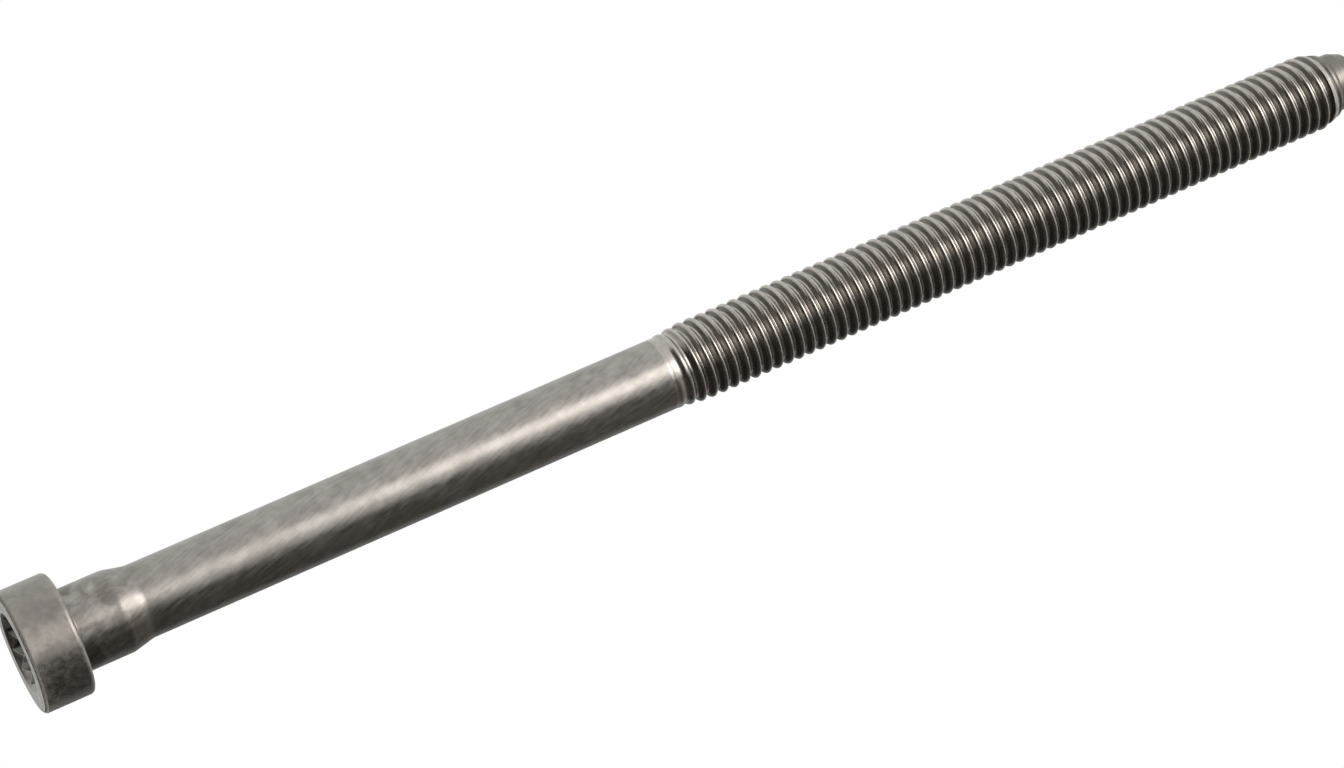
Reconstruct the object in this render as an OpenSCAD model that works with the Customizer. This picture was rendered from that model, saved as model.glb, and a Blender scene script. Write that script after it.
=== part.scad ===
// A long cylinder head bolt in millimetres: one piece of steel, forged at the head and rolled
// at the thread. It stands on the outer face of its head, with its axis on Z and its tip up.

/* [Head] */
// Diameter of the round head
head_d = 14.9; // [13.6:0.1:18]
// Height of the head, from its outer face to its bearing face
head_h = 6.2; // [5.8:0.1:10]
// Width of the edge break round the outer face
head_break = 0.3; // [0.1:0.05:0.6]
// Radius of the rounded edge at the bearing face
head_round = 0.45; // [0.2:0.05:1]

/* [Drive socket] */
// Distance across opposite points of the twelve-point star
socket_d = 9.5; // [8.5:0.1:10]
// How much longer the star's diagonals would be with sharp points
socket_blunt = 0.3; // [0.1:0.05:0.6]
// Depth of the star at its points, where the shallow cone of its floor begins
socket_depth = 4.6; // [4.2:0.1:4.8]
// Depth of the cone in the socket's floor
socket_cone = 0.8; // [0.3:0.1:1.2]
// Width of the countersink round the mouth of the socket
socket_lead = 0.25; // [0.05:0.05:0.4]

/* [Shank] */
// Length of the bolt from its bearing face to its tip
bolt_l = 176; // [150:1:220]
// Diameter of the centring collar under the head
collar_d = 10.1; // [9.9:0.1:11]
// Length of the centring collar
collar_l = 5.9; // [3:0.1:10]
// Radius of the fillet between the bearing face and the collar
neck_round = 0.3; // [0.1:0.05:0.6]
// Length of the taper from the collar down to the shank
taper_l = 2.6; // [1:0.1:5]
// Diameter of the plain shank
shank_d = 8.88; // [8.6:0.02:9.4]

/* [Thread] */
// Diameter over the thread's crests
thread_d = 9.88; // [9.6:0.02:10]
// Rise of the right-hand thread in one turn
pitch = 1.5; // [1.25:0.05:1.75]
// Length of the thread, from its first turn to the step at the pilot
thread_l = 95.9; // [60:0.1:120]
// Length over which the first turns grow out of the shank
runout_l = 2.4; // [1.5:0.1:4]
// Flat facets in one turn of the thread
turn_steps = 20; // [16:2:22]

/* [Point] */
// Length of the cone that leads the thread in
lead_l = 2.3; // [1.6:0.1:3]
// Diameter at the small end of the lead-in cone
lead_d = 8.4; // [8.2:0.1:8.8]
// Length of the plain part of the lead-in cone, where the grooves have run out
plain_l = 0.8; // [0.6:0.05:1.2]
// Length of the step from the lead-in cone down to the pilot
step_l = 0.4; // [0.2:0.05:0.6]
// Diameter of the plain pilot at the tip
pilot_d = 7.4; // [6.8:0.02:7.8]
// Length of the pilot and its step, from the lead-in cone to the end of the bolt
pilot_l = 3.4; // [3:0.1:6]
// Length of the chamfer at the end of the pilot
point_l = 1.6; // [0.4:0.05:1.8]
// Width of the chamfer at the end of the pilot
point_w = 0.6; // [0.3:0.05:1]

/* [Hidden] */
steel = [0.56, 0.55, 0.53];
round_steps = 96;
clear = 1;

// Levels along the bolt's axis
collar_z = head_h + collar_l;
taper_z = collar_z + taper_l;
tip_z = head_h + bolt_l;
point_z = tip_z - point_l;
step_z = tip_z - pilot_l;
pilot_z = step_z + step_l;
plain_z = step_z - plain_l;
thread_z = step_z - thread_l;

// Drive socket: side of each of the star's squares, and the countersink's radius
star_side = (socket_d + socket_blunt) / sqrt(2);
mouth_r = socket_d / 2 + socket_lead;

// Thread form: a sharp 60 degree triangle, cut off at its crest and at its root
flank_deg = 30;
crest_cut = 1 / 6;
root_cut = 1 / 6;
sharp_h = pitch / 2 / tan(flank_deg);
thread_h = sharp_h * (1 - crest_cut - root_cut);
flank_w = thread_h * tan(flank_deg);
crest_w = 2 * sharp_h * crest_cut * tan(flank_deg);
crest_r = thread_d / 2;
root_r = crest_r - thread_h;

// Outline of one turn, as [share of the pitch, share of the thread's height]
outline = [
    [0, 0],
    [flank_w / pitch, 1],
    [(flank_w + crest_w) / pitch, 1],
    [(2 * flank_w + crest_w) / pitch, 0],
];
rows = len(outline);

// The ends of the threaded skin are sunk into the shank and into the pilot
sink = 0.1;
sunk_l = 0.3;
seat_r = shank_d / 2 - sink;
core_r = pilot_d / 2 - point_w - sink;
first_z = thread_z - sunk_l - pitch;
turns = ceil((pilot_z + sunk_l - first_z) / pitch);
last = turns * turn_steps;

// Radius of the lead-in cone at a level, then of the thread's crest and root there
function lead_r(z) = lead_d / 2 + (crest_r - lead_d / 2) * (step_z - z) / lead_l;
function grown(r, z) = seat_r + (r - seat_r) * min(1, max(0, (z - thread_z) / runout_l));
function crest(z) = min(grown(crest_r, z), lead_r(z) - sink);
function root(z) = min(grown(root_r, z), lead_r(z) - sink);

// Share by which the skin has sunk from the lead-in cone to the core, from 0 to 1
function sunk(z) = min(1, max(0, 2 * (z - plain_z) / plain_l - 1));
function skin_r(z, share) =
    let (r = root(z) + (crest(z) - root(z)) * share)
    r + (core_r - r) * sunk(z);

// Point of the thread's skin at a step along the helix and a row of the outline
function place(i, j) =
    let (
        turn = 360 * i / turn_steps,
        z = first_z + pitch * (i / turn_steps + outline[j][0]),
        r = skin_r(z, outline[j][1])
    )
    [r * cos(turn), r * sin(turn), z];

// Number of that point: past the last row, a turn goes on as the first row of the next
function at(i, j) =
    j == rows ? at(i + turn_steps, 0)
    : i <= last ? i * rows + j
    : (last + 1) * rows + i - last - 1;

// Half section of the head, collar, taper and shank, before the neck's fillet is cut
module shank_outline() {
    polygon([
        [0, 0],
        [head_d / 2 - head_break, 0],
        [head_d / 2, head_break],
        [head_d / 2, head_h - head_round],
        [head_d / 2 - head_round, head_h],
        [collar_d / 2 + neck_round, head_h],
        [collar_d / 2, head_h + neck_round],
        [collar_d / 2, collar_z],
        [shank_d / 2, taper_z],
        [shank_d / 2, thread_z],
        [0, thread_z],
    ]);
    translate([head_d / 2 - head_round, head_h - head_round])
        circle(head_round);
}

// Head, centring collar, taper and plain shank, turned in one
module shank() {
    rotate_extrude($fn = round_steps)
        difference() {
            shank_outline($fn = round_steps);
            translate([collar_d / 2 + neck_round, head_h + neck_round])
                circle(neck_round);
        }
}

// The rolled thread: one helical skin, closed by a fan at each end
module thread() {
    points = concat(
        [for (i = [0:last], j = [0:rows - 1]) place(i, j)],
        [for (i = [last + 1:last + turn_steps]) place(i, 0)],
        [for (turn = [0, turns]) [0, 0, first_z + pitch * (turn + 1 / 2)]]
    );
    bottom = len(points) - 2;
    top = len(points) - 1;
    skin = [
        for (i = [0:last - 1], j = [0:rows - 1])
            each [
                [at(i, j), at(i, j + 1), at(i + 1, j + 1)],
                [at(i, j), at(i + 1, j + 1), at(i + 1, j)],
            ]
    ];
    rims = [
        for (i = [0:turn_steps - 1])
            each [
                [bottom, at(i, 0), at(i + 1, 0)],
                [top, at(last + i + 1, 0), at(last + i, 0)],
            ]
    ];
    steps = [
        for (j = [0:rows - 1])
            each [
                [bottom, at(0, j + 1), at(0, j)],
                [top, at(last, j), at(last, j + 1)],
            ]
    ];
    polyhedron(points, concat(skin, rims, steps), convexity = 10);
}

// Plain end of the lead-in cone, the step, the pilot and its chamfer
module pilot() {
    rotate_extrude($fn = round_steps)
        polygon([
            [0, plain_z],
            [lead_r(plain_z), plain_z],
            [lead_d / 2, step_z],
            [pilot_d / 2, pilot_z],
            [pilot_d / 2, point_z],
            [pilot_d / 2 - point_w, tip_z],
            [0, tip_z],
        ]);
}

// Three squares turned by 30 degrees make the star, and a circle blunts its points
module star() {
    intersection() {
        for (turn = [0, 30, 60])
            rotate(turn)
                square(star_side, center = true);
        circle(socket_d / 2, $fn = round_steps);
    }
}

// The forged socket: a star with a shallow cone for its floor and a countersunk mouth
module socket() {
    intersection() {
        translate([0, 0, -clear])
            linear_extrude(clear + socket_depth + socket_cone)
                star();
        rotate_extrude($fn = round_steps)
            polygon([
                [0, -clear],
                [socket_d / 2 + clear, -clear],
                [socket_d / 2 + clear, socket_depth],
                [socket_d / 2, socket_depth],
                [0, socket_depth + socket_cone],
            ]);
    }
    translate([0, 0, -clear])
        cylinder(h = clear + mouth_r, r1 = clear + mouth_r, r2 = 0, $fn = round_steps);
}

module head_bolt() {
    color(steel)
        difference() {
            union() {
                shank();
                thread();
                pilot();
            }
            socket();
        }
}

head_bolt();
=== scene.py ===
import math

import bmesh
import bpy
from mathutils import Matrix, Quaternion, Vector


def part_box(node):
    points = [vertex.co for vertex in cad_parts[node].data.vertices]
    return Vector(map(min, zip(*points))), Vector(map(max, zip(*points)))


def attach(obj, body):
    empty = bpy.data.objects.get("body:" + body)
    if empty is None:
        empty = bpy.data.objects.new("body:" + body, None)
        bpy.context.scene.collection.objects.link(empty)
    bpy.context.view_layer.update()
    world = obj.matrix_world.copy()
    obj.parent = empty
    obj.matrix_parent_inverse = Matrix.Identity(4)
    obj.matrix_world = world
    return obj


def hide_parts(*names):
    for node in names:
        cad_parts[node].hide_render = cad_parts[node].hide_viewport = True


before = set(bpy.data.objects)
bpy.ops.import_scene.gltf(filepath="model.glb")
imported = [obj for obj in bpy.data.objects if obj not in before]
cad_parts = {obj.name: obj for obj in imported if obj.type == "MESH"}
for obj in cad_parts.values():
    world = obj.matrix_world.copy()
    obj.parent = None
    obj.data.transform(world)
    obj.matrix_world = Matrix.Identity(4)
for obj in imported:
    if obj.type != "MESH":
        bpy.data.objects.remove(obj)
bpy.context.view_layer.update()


# ---- Camera
# It looks along the bolt from below its head, so that the socket shows at the near end. It is
# rolled over, so that the standing bolt lies across the picture with its tip at the right.
MM = 0.001
SENSOR_W = 36
LENS = 101.8
CAMERA_AIM = Vector((1.467, 0.615, 83.43)) * MM
CAMERA_AZIMUTH = -53.714
CAMERA_ELEVATION = -17.514
CAMERA_ROLL = 66.43
CAMERA_DISTANCE = 453.2 * MM


def direction(azimuth, elevation):
    """Unit vector at an azimuth from +X towards +Y and an elevation, in degrees."""
    turn, rise = math.radians(azimuth), math.radians(elevation)
    flat = math.cos(rise)
    return Vector((math.cos(turn) * flat, math.sin(turn) * flat, math.sin(rise)))


def add_object(name, data):
    """Links an object with this data into the scene."""
    made = bpy.data.objects.new(name, data)
    bpy.context.scene.collection.objects.link(made)
    return made


camera = add_object("camera", bpy.data.cameras.new("camera"))
camera.data.sensor_width = SENSOR_W
camera.data.lens = LENS
camera.data.clip_start = 0.01
camera.data.clip_end = 20
to_camera = direction(CAMERA_AZIMUTH, CAMERA_ELEVATION)
camera.location = CAMERA_AIM + to_camera * CAMERA_DISTANCE
camera.rotation_mode = "QUATERNION"
upright = (-to_camera).to_track_quat("-Z", "Y")
camera.rotation_quaternion = upright @ Quaternion((0, 0, 1), math.radians(CAMERA_ROLL))
bpy.context.scene.camera = camera


# ---- Forged head, drive socket and centring collar
# Cold forged from the bar in one blow, with a twelve-point star pressed into it for the key.
# The collar under it centres the bolt in its hole, and a taper leads down to the shank.
HEAD_R = 14.9 / 2 * MM
HEAD_H = 6.2 * MM
HEAD_BREAK = 0.3 * MM
BREAK_ROUND = 0.1 * MM
SIDE_ROUND = 0.15 * MM
HEAD_ROUND = 0.6 * MM
SOCKET_R = 9.5 / 2 * MM
SOCKET_LEAD = 0.25 * MM
SOCKET_DEPTH = 4.6 * MM
SOCKET_CONE = 0.8 * MM
STAR_POINTS = 12
STAR_STEP = 360 // STAR_POINTS
STAR_SIDE = 9.8 / math.sqrt(2) * MM
COLLAR_R = 10.1 / 2 * MM
COLLAR_Z = HEAD_H + 5.9 * MM
NECK_ROUND = 0.3 * MM
TAPER_Z = COLLAR_Z + 2.6 * MM
TAPER_ROUND = 2.5 * MM
SHANK_R = 8.88 / 2 * MM
SHANK_Z = TAPER_Z + 2 * MM
# Colour, size and fade of the brown stains, which are partly painted shade where strong by the
# head
STAIN_AND_SHADE_COLOUR = "#544a41"
STAIN_W = 2.6 * MM
STAIN_AND_SHADE_FADE = 3 * MM
# Length over which the painted shade on the thread's flanks grows in
FLANK_SHADE_GROWTH = 5 * MM

# Angles of the vertices in each twelfth of the star, closer together at its ridges and points.
# Every ring of the bolt has as many vertices as the star.
STAR_ANGLES = (0, 1.6, 7, 13.15, 15, 16.85, 23, 28.4)
COLUMNS = STAR_POINTS * len(STAR_ANGLES)

# Steps in a rounded corner, and the narrow band on each side of it that keeps its shading crisp
ROUND_STEPS = 5
FINE_EDGE = 0.05 * MM

# Spans of the noise over which the marks, the two tones and the stains change
MARK_SPAN = (0.3, 0.7)
TONE_SPAN = (0.75, 1.25)
STAIN_SPAN = (0.34, 0.54)
# How far a face leans towards the head where the painted shade starts, and where it is whole
FLANK_SHADE_LEAN = (-0.2, -0.7)


def to_linear(colour):
    """Linear RGBA of an sRGB hex colour."""
    channels = (int(colour[i:i + 2], 16) / 255 for i in (1, 3, 5))
    return (*(c / 12.92 if c <= 0.04045 else ((c + 0.055) / 1.055) ** 2.4 for c in channels), 1)


def add(tree, kind, *values, sockets=None, **settings):
    """Adds a node with its settings, and feeds its inputs in order or by name."""
    node = tree.nodes.new(kind)
    for name, value in settings.items():
        setattr(node, name, value)
    for key, value in [*enumerate(values), *(sockets or {}).items()]:
        if isinstance(value, bpy.types.Node):
            value = value.outputs[0]
        if isinstance(value, bpy.types.NodeSocket):
            tree.links.new(value, node.inputs[key])
        elif value is not None:
            node.inputs[key].default_value = value
    return node


def rounded(corners):
    """Half section through corners of (radius, level, rounding), with each corner rounded off."""
    line = [Vector(corners[0][:2])]
    for before, corner, after in zip(corners, corners[1:], corners[2:]):
        point = Vector(corner[:2])
        back = (Vector(before[:2]) - point).normalized()
        ahead = (Vector(after[:2]) - point).normalized()
        half = back.angle(ahead) / 2
        reach = corner[2] / math.tan(half)
        centre = point + (back + ahead).normalized() * corner[2] / math.sin(half)
        first, last = point + back * reach, point + ahead * reach
        start, sweep = first - centre, (first - centre).angle_signed(last - centre)
        line.append(first + back * FINE_EDGE)
        for i in range(ROUND_STEPS + 1):
            angle = -sweep * i / ROUND_STEPS
            line.append(centre + Vector((
                start.x * math.cos(angle) - start.y * math.sin(angle),
                start.x * math.sin(angle) + start.y * math.cos(angle),
            )))
        line.append(last + ahead * FINE_EDGE)
    return [(p.x, p.y) for p in [*line, Vector(corners[-1][:2])]]


def ring(mesh, radii, levels, angles):
    """Ring of vertices round the axis, with a radius, a level and an angle in degrees for each."""
    return [
        mesh.verts.new((r * math.cos(math.radians(a)), r * math.sin(math.radians(a)), z))
        for r, z, a in zip(radii, levels, angles)
    ]


def band(mesh, lower, upper, slot):
    """Faces between two rings, or between a ring and a single vertex."""
    for i in range(COLUMNS):
        k = (i + 1) % COLUMNS
        ends = (upper[k], upper[i]) if len(upper) > 1 else upper
        mesh.faces.new((lower[i], lower[k], *ends)).material_index = slot


def turned(mesh, outline, slot):
    """Turns a half section round the axis."""
    angles = [360 * i / COLUMNS for i in range(COLUMNS)]
    rings = [ring(mesh, [r] * COLUMNS, [z] * COLUMNS, angles) for r, z in outline]
    for lower, upper in zip(rings, rings[1:]):
        band(mesh, lower, upper, slot)
    return rings


def star_radius(angle):
    """Radius of the star at an angle: three squares a twelfth of a turn apart, points blunted."""
    from_ridge = min(angle % STAR_STEP, -angle % STAR_STEP)
    # A square's corner is 45 degrees from the middle of its side, and a ridge half a step less
    from_middle = 45 - STAR_STEP / 2 + from_ridge
    return min(STAR_SIDE / 2 / math.cos(math.radians(from_middle)), SOCKET_R)


def steel(name, pale, dark, roughness, spread, across, along, slant, relief, blotch,
          stain_and_shade=(0.2, 0.2), flank_shade=None):
    """Satin steel in two tones, with fine marks of a real width, length and relief.

    slant is how far the marks wind round the axis, in radians a metre, and blotch is the size of
    the clouds of tone. stain_and_shade is how strong the stains are at the head and past the
    taper;
    where they are strong by the head, they are partly painted shade. flank_shade is the colour of
    painted shade on the faces that lean towards the head, its radius, its reach from there, and
    the level it starts at.
    """
    material = bpy.data.materials.new(name)
    material.use_nodes = True
    tree = material.node_tree
    tree.nodes.clear()
    coords = add(tree, "ShaderNodeTexCoord").outputs
    place = coords["Object"]
    level = add(tree, "ShaderNodeSeparateXYZ", place).outputs["Z"]

    # Marks that wind round the axis: they vary the gloss and stand out a little
    turn = add(tree, "ShaderNodeMath", level, slant, operation="MULTIPLY")
    twisted = add(tree, "ShaderNodeVectorRotate", place, rotation_type="Z_AXIS",
                  sockets={"Angle": turn})
    stretched = add(tree, "ShaderNodeVectorMath", twisted, (1 / across, 1 / across, 1 / along),
                    operation="MULTIPLY")
    marks = add(tree, "ShaderNodeTexNoise", stretched, sockets={"Scale": 1.0, "Detail": 3.0})
    gloss = add(tree, "ShaderNodeMapRange", marks, *MARK_SPAN,
                roughness - spread, roughness + spread)
    bump = add(tree, "ShaderNodeBump", sockets={"Distance": relief, "Height": marks})

    # Two tones in soft clouds, then the stains, which fade from the collar to the shank and are
    # partly painted shade where they are strong by the head
    clouds = add(tree, "ShaderNodeTexNoise", place,
                 sockets={"Scale": 1 / blotch, "Detail": 5.0, "Roughness": 0.6})
    both = add(tree, "ShaderNodeMath", clouds, marks, operation="ADD")
    tone = add(tree, "ShaderNodeMapRange", both, *TONE_SPAN)
    mottled = add(tree, "ShaderNodeMix", tone, data_type="RGBA",
                  sockets={6: to_linear(dark), 7: to_linear(pale)}).outputs[2]
    strength = add(tree, "ShaderNodeMapRange", level, HEAD_H, TAPER_Z + STAIN_AND_SHADE_FADE, *stain_and_shade)
    spots = add(tree, "ShaderNodeTexNoise", place,
                sockets={"Scale": 1 / STAIN_W, "Detail": 4.0, "Distortion": 0.8})
    spot = add(tree, "ShaderNodeMapRange", spots, *STAIN_SPAN, 0.0, strength)
    colour = add(tree, "ShaderNodeMix", spot, data_type="RGBA",
                 sockets={6: mottled, 7: to_linear(STAIN_AND_SHADE_COLOUR)}).outputs[2]

    # Painted shade near its radius, on the sides that face the head, which grows in from its level
    if flank_shade:
        flank_shade_colour, flank_shade_r, flank_shade_reach, flank_shade_z = flank_shade
        flat = add(tree, "ShaderNodeVectorMath", place, (1, 1, 0), operation="MULTIPLY")
        out = add(tree, "ShaderNodeVectorMath", flat, operation="LENGTH").outputs["Value"]
        off = add(tree, "ShaderNodeMath", out, flank_shade_r, operation="SUBTRACT")
        gap = add(tree, "ShaderNodeMath", off, operation="ABSOLUTE")
        near = add(tree, "ShaderNodeMapRange", gap, flank_shade_reach, flank_shade_reach / 2,
                   interpolation_type="SMOOTHSTEP")
        facing = add(tree, "ShaderNodeSeparateXYZ", coords["Normal"]).outputs["Z"]
        under = add(tree, "ShaderNodeMapRange", facing, *FLANK_SHADE_LEAN,
                    interpolation_type="SMOOTHSTEP")
        grown = add(tree, "ShaderNodeMapRange", level, flank_shade_z, flank_shade_z + FLANK_SHADE_GROWTH)
        there = add(tree, "ShaderNodeMath", near, under, operation="MULTIPLY")
        cover = add(tree, "ShaderNodeMath", there, grown, operation="MULTIPLY")
        colour = add(tree, "ShaderNodeMix", cover, data_type="RGBA",
                     sockets={6: colour, 7: to_linear(flank_shade_colour)}).outputs[2]

    shader = add(tree, "ShaderNodeBsdfPrincipled", sockets={
        "Base Color": colour, "Metallic": 1.0, "Roughness": gloss, "Normal": bump,
    })
    add(tree, "ShaderNodeOutputMaterial", shader)
    return material


# Forged and tumbled: an even, dull grey with a fine grain and faint stains
forged_steel = steel("forged_steel", "#a49d98", "#8f8b86", 0.38, 0.1,
                     0.7 * MM, 0.7 * MM, 0, 0.015 * MM, 2 * MM)
# Left as the punch left it: darker and duller scale, with painted shade in the star, so that the
# socket reads as deep
socket_scale_and_shade = steel("socket_scale_and_shade", "#80847c", "#565a54", 0.42, 0.08,
                     0.6 * MM, 1.2 * MM, 0, 0.02 * MM, 1.5 * MM)
# Drawn and heat treated: a soft sheen, streaks that wind along it, and brown stains that are
# strongest at the collar, where they are partly painted shade next to the head. Drawing marks
# are finer than this, and are drawn as wide as they show.
drawn_steel = steel("drawn_steel", "#aba6a1", "#8f8b86", 0.36, 0.08,
                    0.4 * MM, 1.8 * MM, 82, 0.008 * MM, 2.2 * MM, stain_and_shade=(0.65, 0.1))

FORGED, SCALE_AND_SHADE, DRAWN, ROLLED, CUT = range(5)
bolt = bmesh.new()
head_rings = turned(bolt, rounded([
    (SOCKET_R + SOCKET_LEAD + 2 * FINE_EDGE, 0, 0),
    (HEAD_R - HEAD_BREAK, 0, BREAK_ROUND),
    (HEAD_R, HEAD_BREAK, SIDE_ROUND),
    (HEAD_R, HEAD_H, HEAD_ROUND),
    (COLLAR_R + NECK_ROUND + FINE_EDGE, HEAD_H, 0),
]), FORGED)
turned(bolt, rounded([
    (COLLAR_R + NECK_ROUND + FINE_EDGE, HEAD_H, 0),
    (COLLAR_R, HEAD_H, NECK_ROUND),
    (COLLAR_R, COLLAR_Z, TAPER_ROUND),
    (SHANK_R, TAPER_Z, TAPER_ROUND),
    (SHANK_R, SHANK_Z, 0),
]), DRAWN)

star_angles = [STAR_STEP * point + a for point in range(STAR_POINTS) for a in STAR_ANGLES]
star = [star_radius(a) for a in star_angles]
mouth = SOCKET_R + SOCKET_LEAD
socket_rings = [
    ring(bolt, radii, levels, star_angles)
    for radii, levels in (
        ([mouth + FINE_EDGE] * COLUMNS, [0] * COLUMNS),
        ([mouth] * COLUMNS, [FINE_EDGE / 4] * COLUMNS),
        ([mouth - FINE_EDGE] * COLUMNS, [FINE_EDGE] * COLUMNS),
        ([r + FINE_EDGE for r in star], [mouth - r - FINE_EDGE for r in star]),
        (star, [mouth - r + FINE_EDGE for r in star]),
        (star, [SOCKET_DEPTH - FINE_EDGE] * COLUMNS),
        ([r - FINE_EDGE for r in star], [SOCKET_DEPTH] * COLUMNS),
        ([r / 2 for r in star], [SOCKET_DEPTH + SOCKET_CONE / 2] * COLUMNS),
    )
]

# The countersunk mouth is forged steel like the face round it, and the star below it is scale
# with painted shade
MOUTH_BANDS = 5
for i, (outer, inner) in enumerate(zip([head_rings[0], *socket_rings], socket_rings)):
    band(bolt, inner, outer, FORGED if i < MOUTH_BANDS else SCALE_AND_SHADE)
floor_tip = [bolt.verts.new((0, 0, SOCKET_DEPTH + SOCKET_CONE))]
band(bolt, socket_rings[-1][::-1], floor_tip, SCALE_AND_SHADE)


# ---- Drawn shank
# The bar as it was drawn, left plain between the taper and the thread. It is thinner than the
# thread's crests, because the thread is rolled up out of it.
TIP_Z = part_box("head_bolt")[1][2]
PILOT_L = 3.4 * MM
THREAD_L = 95.9 * MM
STEP_Z = TIP_Z - PILOT_L
THREAD_Z = STEP_Z - THREAD_L
THREAD_FOOT_Z = THREAD_Z - 0.4 * MM
SHANK_RINGS = 30

shank_l = THREAD_FOOT_Z - SHANK_Z
turned(bolt, [
    (SHANK_R, SHANK_Z + shank_l * i / SHANK_RINGS) for i in range(SHANK_RINGS + 1)
], DRAWN)


# ---- Rolled thread
# A right-hand M10 thread of 1.5 mm pitch, rolled cold between dies, so its crests and roots are
# rounded. One strip, a pitch wide, winds up the bolt, and each turn is welded to the one below.
PITCH = 1.5 * MM
CREST_R = 9.88 / 2 * MM
SHARP_H = PITCH / 2 / math.tan(math.radians(30))
THREAD_DEPTH = 0.78 * MM
ROOT_R = CREST_R - THREAD_DEPTH
CREST_CUT = 0.28 * MM
CREST_ROUND = 0.25 * MM
ROOT_ROUND = 0.25 * MM
RUNOUT_L = 4 * MM
LEAD_L = 2.3 * MM
LEAD_R = 8.4 / 2 * MM
FADE_L = 0.8 * MM
ROWS = 12
ROW_CROWDING = 0.04
SPARE_TURNS = 3
WELD = 0.002 * MM
# Radius and reach of the painted shade on the flanks that face the head
FLANK_SHADE_R = ROOT_R + 0.4 * THREAD_DEPTH
FLANK_SHADE_REACH = 0.45 * THREAD_DEPTH

# Level of one crest on the +X side, and how many turns below it the strip starts
CREST_Z = 83.125 * MM
TURNS_BELOW = math.ceil((CREST_Z - THREAD_FOOT_Z) / PITCH) + SPARE_TURNS - 1

thread_sizes = {
    "Turns": math.ceil((STEP_Z - THREAD_FOOT_Z) / PITCH) + 2 * SPARE_TURNS,
    "Steps in a turn": COLUMNS,
    "Rows in a pitch": ROWS,
    "Row crowding": ROW_CROWDING,
    "Pitch": PITCH,
    "First level": CREST_Z - PITCH / 2 - PITCH * TURNS_BELOW,
    "Foot level": THREAD_FOOT_Z,
    "Thread level": THREAD_Z,
    "End level": STEP_Z,
    "Shank radius": SHANK_R,
    "Crest radius": CREST_R,
    "Root radius": ROOT_R,
    "Sharp height": SHARP_H,
    "Crest cut": CREST_CUT,
    "Crest rounding": CREST_ROUND,
    "Root rounding": ROOT_ROUND,
    "Run-out": RUNOUT_L,
    "Lead-in": LEAD_L,
    "Lead-in radius": LEAD_R,
    "Fade": FADE_L,
    "Weld": WELD,
}
winding = bpy.data.node_groups.new("wind_thread", "GeometryNodeTree")
for size_name, size in thread_sizes.items():
    kind = "NodeSocketInt" if isinstance(size, int) else "NodeSocketFloat"
    winding.interface.new_socket(size_name, in_out="INPUT", socket_type=kind)
winding.interface.new_socket("Material", in_out="INPUT", socket_type="NodeSocketMaterial")
winding.interface.new_socket("Thread", in_out="OUTPUT", socket_type="NodeSocketGeometry")
given = winding.nodes.new("NodeGroupInput").outputs

# A flat grid: X counts the turns, and Y is the share of the pitch, with the rows closer together
# at the root and at the crest
cells = add(winding, "ShaderNodeMath", given["Turns"], given["Steps in a turn"],
            operation="MULTIPLY")
posts = add(winding, "ShaderNodeMath", cells, 1, operation="ADD")
rows = add(winding, "ShaderNodeMath", given["Rows in a pitch"], 1, operation="ADD")
strip = add(winding, "GeometryNodeMeshGrid", given["Turns"], 1.0, posts, rows)
flat = add(winding, "ShaderNodeSeparateXYZ", add(winding, "GeometryNodeInputPosition")).outputs
middle = add(winding, "ShaderNodeMath", given["Turns"], 2, operation="DIVIDE")
turn = add(winding, "ShaderNodeMath", flat["X"], middle, operation="ADD")
even = add(winding, "ShaderNodeMath", flat["Y"], 0.5, operation="ADD")
swing = add(winding, "ShaderNodeMath", even, 4 * math.pi, operation="MULTIPLY")
sway = add(winding, "ShaderNodeMath", swing, operation="SINE")
crowd = add(winding, "ShaderNodeMath", sway, given["Row crowding"], operation="MULTIPLY")
share = add(winding, "ShaderNodeMath", even, crowd, operation="SUBTRACT")

# The strip climbs by a pitch in each turn, and is held between the foot and the end
climb = add(winding, "ShaderNodeMath", turn, share, operation="ADD")
raised = add(winding, "ShaderNodeMath", climb, given["Pitch"], given["First level"],
             operation="MULTIPLY_ADD")
footed = add(winding, "ShaderNodeMath", raised, given["Foot level"], operation="MAXIMUM")
level = add(winding, "ShaderNodeMath", footed, given["End level"], operation="MINIMUM")

# Outline of a turn: a sharp triangle, cut off and rounded at its crest and at its root
signed = add(winding, "ShaderNodeMath", share, 2, -1, operation="MULTIPLY_ADD")
fall = add(winding, "ShaderNodeMath", signed, operation="ABSOLUTE")
wave = add(winding, "ShaderNodeMath", 1, fall, operation="SUBTRACT")
sharp_crest = add(winding, "ShaderNodeMath", given["Crest radius"], given["Crest cut"],
                  operation="ADD")
sharp_root = add(winding, "ShaderNodeMath", sharp_crest, given["Sharp height"],
                 operation="SUBTRACT")
sharp = add(winding, "ShaderNodeMath", wave, given["Sharp height"], sharp_root,
            operation="MULTIPLY_ADD")
crested = add(winding, "ShaderNodeMath", sharp, given["Crest radius"], given["Crest rounding"],
              operation="SMOOTH_MIN")
cut = add(winding, "ShaderNodeMath", crested, given["Root radius"], given["Root rounding"],
          operation="SMOOTH_MAX")

# The first turns grow out of the shank
past = add(winding, "ShaderNodeMath", level, given["Thread level"], operation="SUBTRACT")
rise = add(winding, "ShaderNodeMath", past, given["Run-out"], operation="DIVIDE")
begun = add(winding, "ShaderNodeMath", rise, 0, operation="MAXIMUM")
grown = add(winding, "ShaderNodeMath", begun, 1, operation="MINIMUM")
depth = add(winding, "ShaderNodeMath", cut, given["Shank radius"], operation="SUBTRACT")
threaded = add(winding, "ShaderNodeMath", depth, grown, given["Shank radius"],
               operation="MULTIPLY_ADD")

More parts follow.
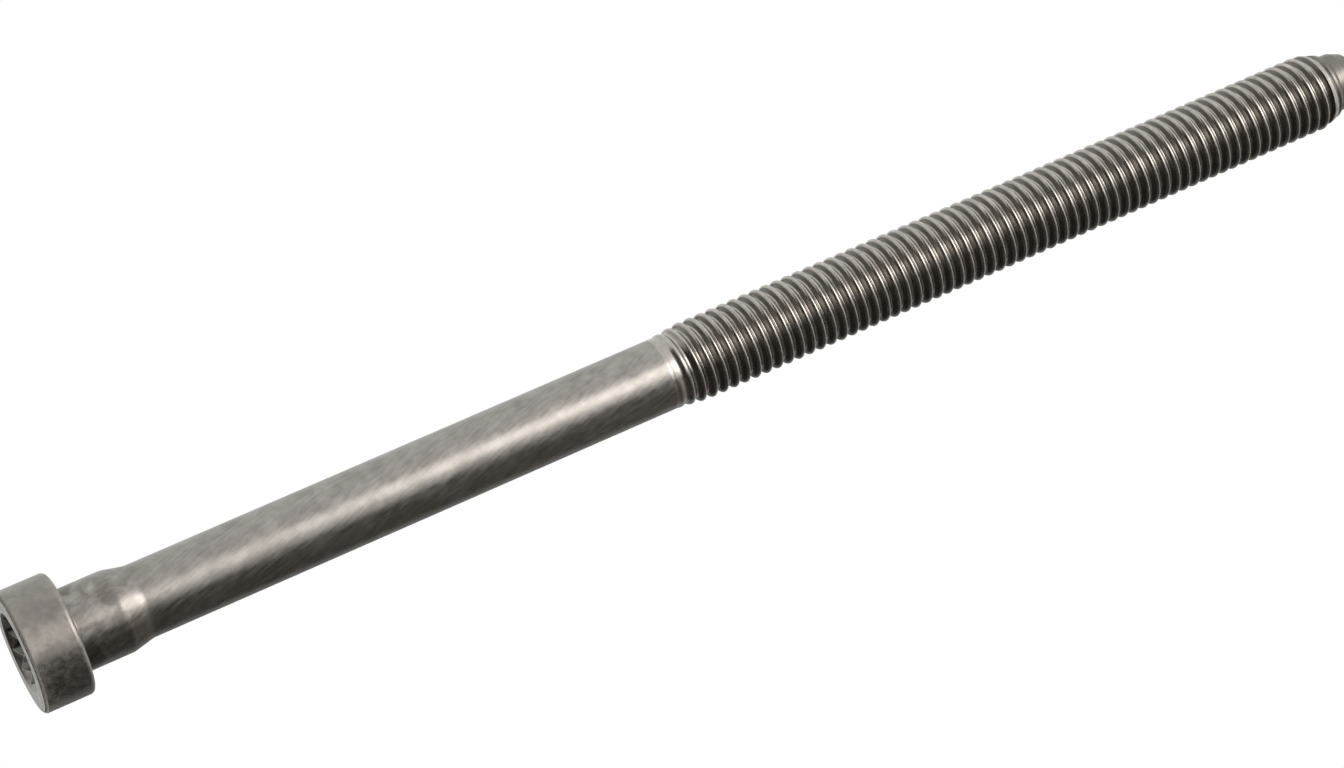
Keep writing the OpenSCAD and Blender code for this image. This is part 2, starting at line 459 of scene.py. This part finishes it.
# The last turns run out on the lead-in cone, which is plain at its end
left = add(winding, "ShaderNodeMath", given["End level"], level, operation="SUBTRACT")
drop = add(winding, "ShaderNodeMath", given["Crest radius"], given["Lead-in radius"],
           operation="SUBTRACT")
slope = add(winding, "ShaderNodeMath", drop, given["Lead-in"], operation="DIVIDE")
cone = add(winding, "ShaderNodeMath", left, slope, given["Lead-in radius"],
           operation="MULTIPLY_ADD")
led_in = add(winding, "ShaderNodeMath", threaded, cone, operation="MINIMUM")
to_go = add(winding, "ShaderNodeMath", left, given["Fade"], operation="DIVIDE")
kept = add(winding, "ShaderNodeMath", to_go, 1, operation="MINIMUM")
faded = add(winding, "ShaderNodeMath", 1, kept, operation="SUBTRACT")
lack = add(winding, "ShaderNodeMath", cone, led_in, operation="SUBTRACT")
radius = add(winding, "ShaderNodeMath", lack, faded, led_in, operation="MULTIPLY_ADD")

# Each point goes to its angle, radius and level, and neighbouring turns are welded
part_turn = add(winding, "ShaderNodeMath", turn, operation="FRACT")
around = add(winding, "ShaderNodeMath", part_turn, math.tau, operation="MULTIPLY")
cosine = add(winding, "ShaderNodeMath", around, operation="COSINE")
sine = add(winding, "ShaderNodeMath", around, operation="SINE")
wound = add(
    winding, "ShaderNodeCombineXYZ",
    add(winding, "ShaderNodeMath", radius, cosine, operation="MULTIPLY"),
    add(winding, "ShaderNodeMath", radius, sine, operation="MULTIPLY"),
    level,
)
placed = add(winding, "GeometryNodeSetPosition", strip, sockets={"Position": wound})
welded = add(winding, "GeometryNodeMergeByDistance", placed, sockets={"Distance": given["Weld"]})
real = add(winding, "GeometryNodeRealizeInstances", welded)
dressed = add(winding, "GeometryNodeSetMaterial", real, sockets={"Material": given["Material"]})
add(winding, "NodeGroupOutput", dressed)

# Rolled between dies: crests and roots are burnished pale, and painted shade darkens the flanks
# that face the head, so each groove reads as a dark line
rolled_steel = steel("rolled_steel", "#cbc2bc", "#aaa8a1", 0.28, 0.06,
                     1.5 * MM, 0.25 * MM, 0, 0.006 * MM, 1.2 * MM, stain_and_shade=(0.15, 0.15),
                     flank_shade=("#6c6965", FLANK_SHADE_R, FLANK_SHADE_REACH, THREAD_Z))
carrier = add_object("thread", bpy.data.meshes.new("thread"))
modifier = carrier.modifiers.new("wind_thread", "NODES")
modifier.node_group = winding
thread_inputs = {**thread_sizes, "Material": rolled_steel}
for item in winding.interface.items_tree:
    if item.in_out == "INPUT":
        modifier[item.identifier] = thread_inputs[item.name]
evaluated = carrier.evaluated_get(bpy.context.evaluated_depsgraph_get())
thread = bpy.data.meshes.new_from_object(evaluated)
carrier.modifiers.remove(modifier)
bpy.data.objects.remove(carrier)

# The plain end of the lead-in cone is turned, as the pilot is
for face in thread.polygons:
    face.material_index = CUT if face.center.z > STEP_Z - FADE_L else ROLLED
bolt.from_mesh(thread)
bpy.data.meshes.remove(thread)


# ---- Pilot
# A plain turned end, thinner than the thread's roots. It finds the hole before the thread
# bites, and it has a soft chamfer where the blank was cut off.
PILOT_R = 7.4 / 2 * MM
PILOT_Z = STEP_Z + 0.4 * MM
PILOT_ROUND = 0.25 * MM
POINT_Z = TIP_Z - 1.6 * MM
POINT_W = 0.6 * MM
POINT_ROUND = 0.6 * MM
END_ROUND = 0.2 * MM
END_RING_R = 0.4 * PILOT_R

# Turned and left: duller and darker than the rest, with rings from the tool, drawn as wide as
# they show
turned_steel = steel("turned_steel", "#8b8680", "#77736d", 0.35, 0.06,
                     3 * MM, 0.25 * MM, 0, 0.012 * MM, 1.5 * MM)
pilot_rings = turned(bolt, rounded([
    (LEAD_R, STEP_Z, 0),
    (PILOT_R, PILOT_Z, PILOT_ROUND),
    (PILOT_R, POINT_Z, POINT_ROUND),
    (PILOT_R - POINT_W, TIP_Z, END_ROUND),
    (END_RING_R, TIP_Z, 0),
]), CUT)
band(bolt, pilot_rings[-1], [bolt.verts.new((0, 0, TIP_Z))], CUT)


# ---- The bolt in one piece
# The parts above meet at the same points and are welded there. Only edges that are sharp on the
# real bolt, such as the star's, stay sharp.
SHARP_ANGLE = math.radians(38)

bmesh.ops.remove_doubles(bolt, verts=bolt.verts, dist=WELD)
bmesh.ops.recalc_face_normals(bolt, faces=bolt.faces)
for edge in bolt.edges:
    edge.smooth = edge.calc_face_angle(0) < SHARP_ANGLE
for face in bolt.faces:
    face.smooth = True
bolt_mesh = bpy.data.meshes.new("bolt")
bolt.to_mesh(bolt_mesh)
bolt.free()
piece = add_object("bolt", bolt_mesh)
for material in (forged_steel, socket_scale_and_shade, drawn_steel, rolled_steel, turned_steel):
    bolt_mesh.materials.append(material)
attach(piece, "root")
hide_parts("head_bolt")


# ---- Floor
# Pale matt paint, which fades into the white surroundings. It is a disc with a hole just inside
# the edge of the head, and from below it is clear to the eye, so that the socket shows.
FLOOR_R = 2.5
HOLE_R = 7.2 * MM
FLOOR_RINGS = (HOLE_R, 0.05, 0.3, FLOOR_R)
FADE_FROM = 0.08
FADE_TO = 0.4

pale_floor = bpy.data.materials.new("pale_floor")
pale_floor.use_nodes = True
floor_tree = pale_floor.node_tree
floor_tree.nodes.clear()
paint = add(floor_tree, "ShaderNodeBsdfDiffuse", to_linear("#ececea"))
glow = add(floor_tree, "ShaderNodeEmission", to_linear("#ffffff"), 1.0)
place = add(floor_tree, "ShaderNodeTexCoord").outputs["Object"]
out = add(floor_tree, "ShaderNodeVectorMath", place, operation="LENGTH").outputs["Value"]
far = add(floor_tree, "ShaderNodeMapRange", out, FADE_FROM, FADE_TO,
          interpolation_type="SMOOTHSTEP")
surface = add(floor_tree, "ShaderNodeMixShader", far, paint, glow)
seen = add(floor_tree, "ShaderNodeLightPath").outputs["Is Camera Ray"]
back = add(floor_tree, "ShaderNodeNewGeometry").outputs["Backfacing"]
under = add(floor_tree, "ShaderNodeMath", seen, back, operation="MULTIPLY")
clear = add(floor_tree, "ShaderNodeBsdfTransparent")
shown = add(floor_tree, "ShaderNodeMixShader", under, surface, clear)
add(floor_tree, "ShaderNodeOutputMaterial", shown)

ground = bmesh.new()
angles = [360 * i / COLUMNS for i in range(COLUMNS)]
floor_rings = [ring(ground, [r] * COLUMNS, [0] * COLUMNS, angles) for r in FLOOR_RINGS]
for inner, outer in zip(floor_rings, floor_rings[1:]):
    band(ground, inner, outer, 0)
for face in ground.faces:
    face.normal_update()
    if face.normal.z < 0:
        face.normal_flip()
ground_mesh = bpy.data.meshes.new("floor")
ground.to_mesh(ground_mesh)
ground.free()
ground_mesh.materials.append(pale_floor)
add_object("floor", ground_mesh)


# ---- Studio
# White surroundings light the steel, and a soft lamp above the camera draws the long highlight.
# Curved sheets which glow at a set brightness, and which only its reflections see, paint in its
# dark side and its grey edges.
CARD_FROM = -25
CARD_TO = 76
SIDE_TO = 140
LOWER_SIDE_TO = 120
UNDER_SHEET_FROM = -115
UNDER_SHEET_TO = 150
FOOT = 0.5 * MM
CARD_LINE = ((0.8, FOOT), (0.95, 0.05), (1, 0.2), (1, 0.8), (0.85, 1.3))
LOWER_LINE = ((0.9, -1.2), (1, -0.8), (1, -FOOT))
PIT_LINE = ((0.02, -1.2), (0.9, -1.2))
UNDER_SHEET_LINE = ((0.012, FOOT), (0.8, FOOT))
CARD_STEP = 5
PALE_FROM = 0.1
PALE_TO = 1.2
WARM = "#fff6ec"
COOL = "#f3f8f4"

# Section, first and last azimuth, brightness below PALE_FROM and above PALE_TO, and colour
REFLECTED_SHEETS = {
    "card": (CARD_LINE, CARD_FROM, CARD_TO, 0.06, 0.45, WARM),
    "side_card": (CARD_LINE, CARD_TO, SIDE_TO, 0.32, 0.7, COOL),
    "lower_card": (LOWER_LINE, CARD_FROM, CARD_TO, 0.05, 0.05, WARM),
    "lower_side_card": (LOWER_LINE, CARD_TO, LOWER_SIDE_TO, 0.2, 0.2, COOL),
    "pit": (PIT_LINE, 0, 360, 0.05, 0.05, COOL),
    "under_sheet": (UNDER_SHEET_LINE, UNDER_SHEET_FROM, UNDER_SHEET_TO, 0.045, 0.045, WARM),
}


def hang_reflected_sheet(name, line, start, stop, low, high, colour):
    """Curved sheet round the bolt that glows, seen only in reflections, with a section of
    (distance from the axis, level).
    """
    sheet = bmesh.new()
    steps = round((stop - start) / CARD_STEP)
    posts = []
    for i in range(steps + 1):
        out = direction(start + (stop - start) * i / steps, 0)
        posts.append([sheet.verts.new((out.x * r, out.y * r, z)) for r, z in line])
    for near, after in zip(posts, posts[1:]):
        for k in range(len(line) - 1):
            sheet.faces.new((near[k], after[k], after[k + 1], near[k + 1])).smooth = True
    mesh = bpy.data.meshes.new(name)
    sheet.to_mesh(mesh)
    sheet.free()
    sheet_glow = bpy.data.materials.new(name)
    sheet_glow.use_nodes = True
    tree = sheet_glow.node_tree
    tree.nodes.clear()
    place = add(tree, "ShaderNodeTexCoord").outputs["Object"]
    height = add(tree, "ShaderNodeSeparateXYZ", place).outputs["Z"]
    shade = add(tree, "ShaderNodeMapRange", height, PALE_FROM, PALE_TO, low, high,
                interpolation_type="SMOOTHSTEP")
    # The sheet glows, lighter towards its top: painted reflections of dark and grey surroundings
    lit = add(tree, "ShaderNodeEmission", to_linear(colour), shade)
    add(tree, "ShaderNodeOutputMaterial", lit)
    mesh.materials.append(sheet_glow)
    made = add_object(name, mesh)
    made.visible_camera = False
    made.visible_diffuse = False
    made.visible_shadow = False


for sheet_name, sheet_plan in REFLECTED_SHEETS.items():
    hang_reflected_sheet(sheet_name, *sheet_plan)

LAMP_AIM = Vector((0, 0, 90)) * MM
LAMP_AZIMUTH = -61
LAMP_ELEVATION = 35
LAMP_DISTANCE = 0.9
LAMP_W = 0.45
LAMP_H = 0.82
LAMP_WATTS = 4.35

key = bpy.data.lights.new("key_lamp", "AREA")
key.shape = "RECTANGLE"
key.size = LAMP_W
key.size_y = LAMP_H
key.energy = LAMP_WATTS
key.color = to_linear("#fffcf8")[:3]
key_lamp = add_object("key_lamp", key)
away = direction(LAMP_AZIMUTH, LAMP_ELEVATION)
key_lamp.location = LAMP_AIM + away * LAMP_DISTANCE
key_lamp.rotation_mode = "QUATERNION"
key_lamp.rotation_quaternion = away.to_track_quat("Z", "Y")

# White to the eye and in mirrors, softer as light, and a little cooler behind the bolt
BEHIND_AZIMUTH = 146
FILL = 0.8
world = bpy.data.worlds.new("white_surroundings")
bpy.context.scene.world = world
world.use_nodes = True
world_tree = world.node_tree
world_tree.nodes.clear()
rays = add(world_tree, "ShaderNodeLightPath").outputs
mirrored = add(world_tree, "ShaderNodeMath", rays["Is Glossy Ray"], rays["Is Transmission Ray"],
               operation="MAXIMUM")
direct = add(world_tree, "ShaderNodeMath", rays["Is Camera Ray"], mirrored, operation="MAXIMUM")
strength = add(world_tree, "ShaderNodeMapRange", direct, 0.0, 1.0, FILL, 1.0)
toward = add(world_tree, "ShaderNodeTexCoord").outputs["Generated"]
behind = add(world_tree, "ShaderNodeVectorMath", toward, direction(BEHIND_AZIMUTH, 0),
             operation="DOT_PRODUCT").outputs["Value"]
tinted = add(world_tree, "ShaderNodeMix", behind, data_type="RGBA",
             sockets={6: to_linear("#ffffff"), 7: to_linear("#f4f9f6")}).outputs[2]
air = add(world_tree, "ShaderNodeMix", rays["Is Camera Ray"], data_type="RGBA",
          sockets={6: tinted, 7: to_linear("#ffffff")}).outputs[2]
add(world_tree, "ShaderNodeOutputWorld", add(world_tree, "ShaderNodeBackground", air, strength))
bpy.context.scene.view_settings.view_transform = "Standard"
